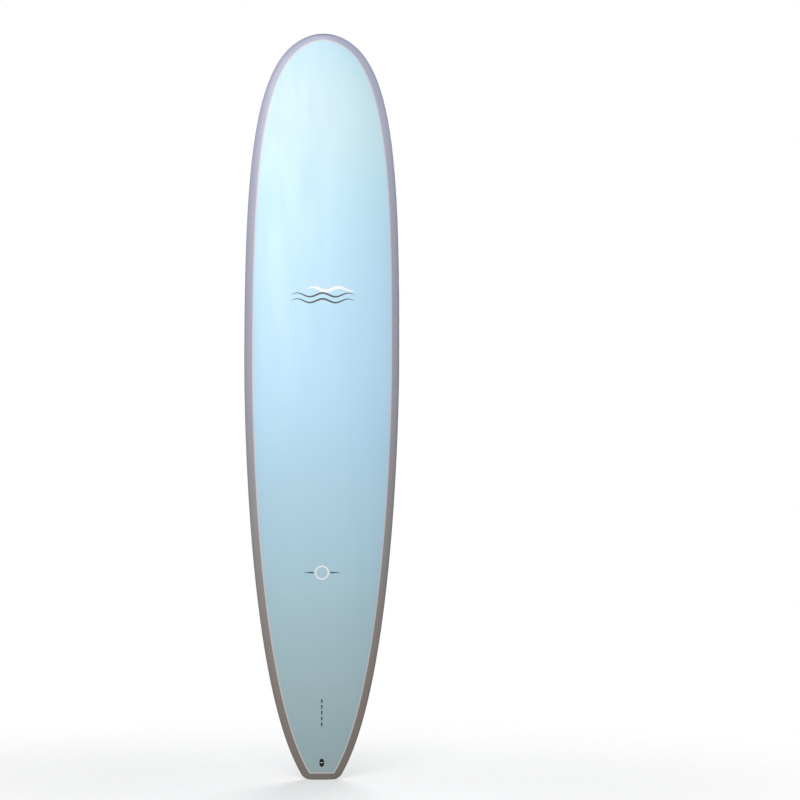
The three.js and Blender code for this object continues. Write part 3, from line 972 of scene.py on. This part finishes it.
# Bottom: two thin bars at the rear, as (name, place along the board, length, width).
REAR_BARS = (("front", 116 * MM, 68 * MM, 2 * MM), ("rear", 56 * MM, 66 * MM, 6 * MM))
for name, z, length, width in REAR_BARS:
    path = straight(-length / 2, length / 2, z)
    dark_marks.append(stroke(f"bottom_bar_{name}", "bottom", path, tapered(width, BAR_STEPS)))

# Paler line where the laminate shows the edge of the centre box's flange.
flange_length, flange_width, _ = CENTRE["flange"]
flange_edge = [(x, z + CENTRE["z"]) for x, z in stadium(flange_length, flange_width, 14)]
faint_marks = [stroke("bottom_flange_line", "bottom", flange_edge, 1.2 * MM, True)]


# ---- Materials ----

def new_material(name, colour, roughness, **sockets):
    """A material whose uniform values sit on the shader's own sockets."""
    material = bpy.data.materials.new(name)
    material.use_nodes = True
    shader = material.node_tree.nodes["Principled BSDF"]
    shader.inputs["Base Color"].default_value = (*colour, 1)
    shader.inputs["Roughness"].default_value = roughness
    for socket, value in sockets.items():
        shader.inputs[socket.replace("_", " ")].default_value = value
    return material


def shader_of(material):
    """The material's surface shader."""
    return material.node_tree.nodes["Principled BSDF"]


def link(material, output, target):
    """Joins two sockets."""
    material.node_tree.links.new(output, target)


def drive(material, socket, output):
    """Feeds one of the shader's own sockets."""
    link(material, output, shader_of(material).inputs[socket])


def node(material, kind, **settings):
    """A new node with these settings."""
    made = material.node_tree.nodes.new(kind)
    for key, value in settings.items():
        setattr(made, key, value)
    return made


def place_of(material, stretch=(1, 1, 1)):
    """The point in the board's own frame, stretched."""
    mapping = node(material, "ShaderNodeMapping")
    mapping.inputs["Scale"].default_value = stretch
    link(material, node(material, "ShaderNodeTexCoord").outputs["Object"], mapping.inputs["Vector"])
    return mapping.outputs["Vector"]


def noise(material, size, detail=3.0, stretch=(1, 1, 1)):
    """Cloudy noise whose features are about this large."""
    made = node(material, "ShaderNodeTexNoise")
    made.inputs["Scale"].default_value = 1 / size
    made.inputs["Detail"].default_value = detail
    link(material, place_of(material, stretch), made.inputs["Vector"])
    return made.outputs["Fac"]


def cells(material, size):
    """Distance to the nearest of many scattered points, as in packed beads."""
    made = node(material, "ShaderNodeTexVoronoi")
    made.inputs["Scale"].default_value = 1 / size
    link(material, place_of(material), made.inputs["Vector"])
    return made.outputs["Distance"]


def spread(material, source, low, high, from_low=0.3, from_high=0.7):
    """A value moved to another range."""
    made = node(material, "ShaderNodeMapRange")
    ends = {"From Min": from_low, "From Max": from_high, "To Min": low, "To Max": high}
    for socket, value in ends.items():
        made.inputs[socket].default_value = value
    link(material, source, made.inputs["Value"])
    return made.outputs["Result"]


def ramp(material, source, stops):
    """Colours blended along a value from (position, colour) stops."""
    made = node(material, "ShaderNodeValToRGB")
    made.color_ramp.interpolation = "B_SPLINE"
    elements = made.color_ramp.elements
    while len(elements) < len(stops):
        elements.new(0.5)
    for element, (position, colour) in zip(elements, stops):
        element.position = position
        element.color = (*colour, 1)
    link(material, source, made.inputs["Fac"])
    return made.outputs["Color"]


# A colour mix node's sockets share their names with its other kinds, so they go by number.
MIX_AMOUNT, MIX_FIRST, MIX_SECOND, MIX_RESULT = 0, 6, 7, 2


def colour_mix(material, first, amount, blend):
    """A mix that starts from a colour, its second colour still open."""
    made = node(material, "ShaderNodeMix", data_type="RGBA", blend_type=blend)
    link(material, amount, made.inputs[MIX_AMOUNT])
    link(material, first, made.inputs[MIX_FIRST])
    return made


def tinted(material, tone, amount, colour, blend="MULTIPLY"):
    """A colour output changed towards another colour by an amount."""
    made = colour_mix(material, tone, amount, blend)
    made.inputs[MIX_SECOND].default_value = (*colour, 1)
    return made.outputs[MIX_RESULT]


def bumped(material, *heights):
    """Stacks bumps of (height output, depth in metres, strength)."""
    normal = None
    for height, depth, strength in heights:
        made = node(material, "ShaderNodeBump")
        made.inputs["Distance"].default_value = depth
        made.inputs["Strength"].default_value = strength
        link(material, height, made.inputs["Height"])
        if normal:
            link(material, normal, made.inputs["Normal"])
        normal = made.outputs["Normal"]
    drive(material, "Normal", normal)


def along_board(material):
    """0 at the tail and 1 at the nose."""
    split = node(material, "ShaderNodeSeparateXYZ")
    link(material, place_of(material), split.inputs["Vector"])
    return spread(material, split.outputs["Z"], 0, 1, 0, LENGTH)


def faces_back(material):
    """0 on the deck and the rails, and 1 where the surface faces the bottom side."""
    split = node(material, "ShaderNodeSeparateXYZ")
    link(material, node(material, "ShaderNodeTexCoord").outputs["Normal"], split.inputs["Vector"])
    made = spread(material, split.outputs["Y"], 0, 1, 0.2, 0.9)
    made.node.interpolation_type = "SMOOTHSTEP"
    return made


SATIN = {"roughness": 0.42, "Coat_Weight": 0.25, "Coat_Roughness": 0.28}
SATIN_RANGE = (0.36, 0.5)  # how the roughness varies


def board_paint(name, stops, bottom_stops=None):
    """Sprayed paint under a satin clear coat, with faint clouding, fine flakes and a soft orange peel. The
    stops along the board add painted shade towards the tail on top of the paint's own fade. Bottom stops
    give the faces towards the bottom their own painted light and shade.
    """
    material = new_material(name, stops[1][1], **SATIN)
    # Colour along the board: the paint's fade together with painted shade towards the tail.
    colour = ramp(material, along_board(material), stops)
    # Faces towards the bottom take a second ramp that holds painted light and shade.
    if bottom_stops:
        bottom_colour = ramp(material, along_board(material), bottom_stops)
        sides_mix = colour_mix(material, colour, faces_back(material), "MIX")
        link(material, bottom_colour, sides_mix.inputs[MIX_SECOND])
        colour = sides_mix.outputs[MIX_RESULT]
    clouds = spread(material, noise(material, 260 * MM, 2, (1, 1, 0.5)), 0.0, 0.28)
    colour = tinted(material, colour, clouds, (0.9, 0.92, 0.95))
    streaks = spread(material, noise(material, 30 * MM, 4, (1, 1, 0.06)), 0.0, 0.16)
    colour = tinted(material, colour, streaks, (0.93, 0.93, 0.93))
    flakes = spread(material, noise(material, 0.9 * MM, 1), 0.0, 0.12, 0.45, 0.75)
    colour = tinted(material, colour, flakes, (1.08, 1.08, 1.08))
    drive(material, "Base Color", colour)
    scuffs = noise(material, 60 * MM, 5, (1, 1, 0.2))
    rough = spread(material, scuffs, *SATIN_RANGE)
    drive(material, "Roughness", rough)
    peel = noise(material, 4 * MM, 2)
    long_wave = noise(material, 180 * MM, 1, (1, 1, 0.4))
    bumped(material, (long_wave, 1.2 * MM, 0.12), (peel, 0.04 * MM, 0.35))
    return material


def ink(name, colour, worn):
    """Printed colour with slightly worn, uneven cover."""
    material = new_material(name, colour, **SATIN)
    base = node(material, "ShaderNodeRGB")
    base.outputs[0].default_value = (*colour, 1)
    wear = spread(material, noise(material, 6 * MM, 5), 0.0, 0.5, 0.45, 0.8)
    tone = tinted(material, base.outputs[0], wear, worn, "MIX")
    drive(material, "Base Color", tone)
    rough = spread(material, noise(material, 2 * MM, 3), *SATIN_RANGE)
    drive(material, "Roughness", rough)
    bumped(material, (noise(material, 1.2 * MM, 2), 0.03 * MM, 0.3))
    return material


def moulded(name, colour, light, roughness, grain, **sockets):
    """Moulded plastic with a fine grain and slight shading where it has been handled."""
    material = new_material(name, colour, roughness, **sockets)
    tone = ramp(material, noise(material, 7 * MM, 4), [(0.35, colour), (0.75, light)])
    drive(material, "Base Color", tone)
    rough = spread(material, noise(material, 3 * MM, 4), roughness * 0.8, roughness * 1.25)
    drive(material, "Roughness", rough)
    bumped(material, (noise(material, 0.6 * MM, 3), grain, 0.5))
    return material


def foam(name, colour, shade_colour, bead):
    """Foam made of small beads."""
    material = new_material(name, colour, 0.9)
    beads = cells(material, bead)
    depth = spread(material, beads, 0, 1, 0.0, 0.8)
    tone = ramp(material, depth, [(0.2, colour), (0.9, shade_colour)])
    patches = spread(material, noise(material, 40 * MM, 3), 0.0, 0.3)
    tone = tinted(material, tone, patches, shade_colour)
    drive(material, "Base Color", tone)
    bumped(material, (beads, 0.4 * MM, 0.6), (noise(material, 0.8 * MM, 3), 0.1 * MM, 0.4))
    return material


def wood():
    """Straight-grained light wood, its grain along the board."""
    material = new_material("stringer_wood", (0.5, 0.33, 0.17), 0.65)
    grain = noise(material, 2.5 * MM, 5, (1, 1, 0.02))
    pores = noise(material, 0.5 * MM, 3, (1, 1, 0.05))
    tone = ramp(material, grain, [
        (0.3, (0.34, 0.19, 0.085)),
        (0.5, (0.55, 0.37, 0.19)),
        (0.75, (0.66, 0.48, 0.28)),
    ])
    dark_pores = spread(material, pores, 0, 0.5, 0.5, 0.7)
    tone = tinted(material, tone, dark_pores, (0.4, 0.28, 0.16))
    drive(material, "Base Color", tone)
    drive(material, "Roughness", spread(material, grain, 0.55, 0.8))
    bumped(material, (grain, 0.2 * MM, 0.4), (pores, 0.1 * MM, 0.4))
    return material


def steel():
    """Brushed stainless steel with faint staining."""
    material = new_material("stainless_steel", (0.62, 0.62, 0.63), 0.25, Metallic=1.0)
    stain = noise(material, 1.5 * MM, 4)
    tone = ramp(material, stain, [(0.3, (0.5, 0.49, 0.47)), (0.6, (0.72, 0.72, 0.73))])
    drive(material, "Base Color", tone)
    brush = noise(material, 0.15 * MM, 3, (1, 0.1, 1))
    drive(material, "Roughness", spread(material, brush, 0.18, 0.36))
    bumped(material, (brush, 0.02 * MM, 0.3))
    return material


# Colours are linear. The two ramps give each colour with its place along the board, tail 0 and nose 1.
# Their darkening towards the tail is partly the paint's own fade and partly painted shade for light
# falling from above, and the deck's paler stop at 0.9 is a painted sheen near the nose.
deck_paint = board_paint("deck_paint_and_painted_shade", [
    (0.0, (0.32, 0.43, 0.44)),
    (0.14, (0.40, 0.55, 0.58)),
    (0.3, (0.42, 0.63, 0.735)),
    (0.52, (0.475, 0.71, 0.90)),
    (0.78, (0.46, 0.71, 0.85)),
    # Painted sheen: a paler, cyan-white stop near the nose.
    (0.9, (0.58, 0.76, 0.79)),
    (1.0, (0.46, 0.70, 0.85)),
])
# The rails' list darkens and turns browner towards the tail. This is partly the paint's own fade and
# partly painted shade for light from above.
grey_paint = board_paint("rail_paint_and_painted_shade", [
    (0.0, (0.19, 0.16, 0.135)),
    (0.14, (0.275, 0.235, 0.21)),
    (0.3, (0.30, 0.275, 0.275)),
    (0.45, (0.345, 0.33, 0.375)),
    (0.62, (0.37, 0.375, 0.45)),
    (0.76, (0.38, 0.385, 0.475)),
    (0.9, (0.41, 0.425, 0.545)),
    (1.0, (0.39, 0.405, 0.53)),
# Faces towards the bottom: the same grey paint with painted light at the nose and painted shade at the
# tail.
], [
    (0.0, (0.10, 0.098, 0.09)),
    (0.1, (0.127, 0.122, 0.105)),
    (0.2, (0.183, 0.188, 0.188)),
    (0.32, (0.23, 0.25, 0.277)),
    (0.48, (0.315, 0.36, 0.45)),
    (0.64, (0.46, 0.54, 0.69)),
    (0.8, (0.58, 0.67, 0.785)),
    (1.0, (0.69, 0.79, 0.87)),
])
white_ink = ink("white_ink", (0.86, 0.87, 0.88), (0.7, 0.76, 0.8))
pin_ink = ink("pinline_ink", (0.64, 0.58, 0.585), (0.58, 0.5, 0.51))
dark_ink = ink("dark_ink", (0.02, 0.025, 0.03), (0.09, 0.1, 0.11))
red_ink = ink("red_ink", (0.42, 0.03, 0.03), (0.6, 0.3, 0.28))
faint_ink = ink("faint_ink", (0.42, 0.42, 0.43), (0.36, 0.36, 0.37))
black_plastic = moulded("black_nylon", (0.009, 0.009, 0.01), (0.022, 0.022, 0.024), 0.36, 0.05 * MM)
clear_plastic = moulded(
    "clear_fin_box", (0.55, 0.56, 0.56), (0.7, 0.7, 0.69), 0.16, 0.03 * MM,
    Transmission_Weight=0.35, IOR=1.55,
)
white_foam = foam("light_core_foam", (0.82, 0.82, 0.79), (0.66, 0.66, 0.62), 3 * MM)
sheet_foam = foam("sandwich_foam", (0.66, 0.52, 0.24), (0.5, 0.38, 0.16), 1.2 * MM)
block_foam = foam("dense_insert_foam", (0.42, 0.2, 0.07), (0.3, 0.13, 0.045), 0.8 * MM)
stringer_wood = wood()
stainless = steel()


def paint_with(material, objects):
    """Gives pieces this one material."""
    for obj in objects:
        obj.data.materials.clear()
        obj.data.materials.append(material)


def paint_nodes(material, *names):
    """Gives CAD nodes a material in their own material slots."""
    for name in names:
        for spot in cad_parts[name].material_slots:
            spot.material = material


for material, objects in (
    (deck_paint, [painted["deck"]]),
    (pin_ink, [painted["pin"]]),
    (grey_paint, [painted["bottom"]]),
    (white_ink, white_marks),
    (dark_ink, dark_marks),
    (red_ink, red_marks),
    (faint_ink, faint_marks),
    (black_plastic, box_pieces),
    (clear_plastic, clear_pieces),
    (stainless, steel_pieces),
):
    paint_with(material, objects)

SIDES = ("port", "starboard")
paint_nodes(white_foam, *[f"core_foam_{side}" for side in SIDES])
paint_nodes(sheet_foam, "deck_sandwich_sheet", "bottom_sandwich_sheet")
paint_nodes(block_foam, "centre_fin_insert", "leash_insert")
paint_nodes(block_foam, *[f"side_fin_insert_{side}" for side in SIDES])
paint_nodes(stringer_wood, "stringer")


# ---- Camera, light and floor ----

CAMERA_DISTANCE = 12.0
CAMERA_AZIMUTH = math.radians(-2.7)  # a little to the deck's port side
CAMERA_ROLL = math.radians(-0.13)  # so that the nose leans a little to the right
CAMERA_HEIGHT = 1.424
FRAME_SIZE = 3.003  # height of the view at the board
BOARD_ASIDE = 0.291  # how far left of the view's middle the board stands
SENSOR = 36.0

camera_data = bpy.data.cameras.new("camera")
camera_data.sensor_width = SENSOR
camera_data.lens = SENSOR * CAMERA_DISTANCE / FRAME_SIZE
camera = new_object("camera", camera_data)
camera.location = (
    CAMERA_DISTANCE * math.sin(CAMERA_AZIMUTH),
    -CAMERA_DISTANCE * math.cos(CAMERA_AZIMUTH),
    CAMERA_HEIGHT,
)
aim = CAMERA_AZIMUTH - math.atan(BOARD_ASIDE / CAMERA_DISTANCE)
camera.rotation_euler = (math.pi / 2, CAMERA_ROLL, aim)
bpy.context.scene.camera = camera

bpy.context.scene.view_settings.view_transform = "Standard"

world = bpy.data.worlds.new("studio")
world.use_nodes = True
bpy.context.scene.world = world
nodes, links = world.node_tree.nodes, world.node_tree.links
room = nodes["Background"]
room.inputs["Color"].default_value = (0.97, 0.985, 1.0, 1)
room.inputs["Strength"].default_value = 0.35
backdrop = nodes.new("ShaderNodeBackground")
backdrop.inputs["Color"].default_value = (1, 1, 1, 1)
choose = nodes.new("ShaderNodeMixShader")
links.new(nodes.new("ShaderNodeLightPath").outputs["Is Camera Ray"], choose.inputs["Fac"])
links.new(room.outputs["Background"], choose.inputs[1])
links.new(backdrop.outputs["Background"], choose.inputs[2])
links.new(choose.outputs["Shader"], nodes["World Output"].inputs["Surface"])


def softbox(name, place, target, size, power):
    """A large soft lamp that the camera doesn't see."""
    data = bpy.data.lights.new(name, "AREA")
    data.shape = "RECTANGLE"
    data.size, data.size_y = size
    data.energy = power
    lamp = new_object(name, data)
    lamp.location = place
    lamp.rotation_euler = (Vector(target) - Vector(place)).to_track_quat("-Z", "Y").to_euler()
    lamp.visible_camera = False
    return lamp


LAMP_PLACE = (0.65, 2.8, 2.3)
LAMP_TARGET = (0, 0, 1.8)
LAMP_SIZE = (1.8, 1.4)
LAMP_WATTS = 67

# The rear lamp lights the bottom as the front one lights the deck.
for name, sign in (("front_softbox", -1), ("rear_softbox", 1)):
    aside, away, height = LAMP_PLACE
    softbox(name, (sign * aside, sign * away, height), LAMP_TARGET, LAMP_SIZE, LAMP_WATTS)


FLOOR_RADIUS = 2.4
FLOOR_CLEAR_FROM = 0.15  # where the floor starts to fade
FLOOR_COVER = 0.6  # how much of the backdrop it hides at the board
FLOOR_DROP = 0.5 * MM


def floor_material():
    """A pale matt surface that fades out towards the floor's edge."""
    material = bpy.data.materials.new("floor")
    material.use_nodes = True
    pale = shader_of(material)
    pale.inputs["Base Color"].default_value = (0.93, 0.935, 0.94, 1)
    pale.inputs["Roughness"].default_value = 0.7
    clear = node(material, "ShaderNodeBsdfTransparent")
    mix = node(material, "ShaderNodeMixShader")
    distance = node(material, "ShaderNodeVectorMath", operation="LENGTH")
    place = node(material, "ShaderNodeTexCoord").outputs["Object"]
    link(material, place, distance.inputs[0])
    fade = spread(
        material, distance.outputs["Value"], FLOOR_COVER, 0.0, FLOOR_CLEAR_FROM, FLOOR_RADIUS
    )
    fade.node.interpolation_type = "SMOOTHSTEP"
    link(material, fade, mix.inputs["Fac"])
    link(material, clear.outputs[0], mix.inputs[1])
    link(material, pale.outputs[0], mix.inputs[2])
    surface = material.node_tree.nodes["Material Output"].inputs["Surface"]
    link(material, mix.outputs[0], surface)
    return material


def floor():
    """A pale disc under the board."""
    rings, sides = 24, 96
    points, faces = [(0, 0, 0)], []
    for k in range(1, rings + 1):
        for i in range(sides):
            turn = 2 * math.pi * i / sides
            out = FLOOR_RADIUS * k / rings
            points.append((out * math.cos(turn), out * math.sin(turn), 0))
    for i in range(sides):
        j = (i + 1) % sides
        faces.append([0, 1 + i, 1 + j])
        for k in range(rings - 1):
            inner, outer = 1 + k * sides, 1 + (k + 1) * sides
            faces.append([inner + i, outer + i, outer + j, inner + j])
    obj = object_from("floor", points, faces)
    obj.location.z = -FLOOR_DROP
    obj.data.materials.append(floor_material())


floor()

bpy.data.objects.remove(board_solid)
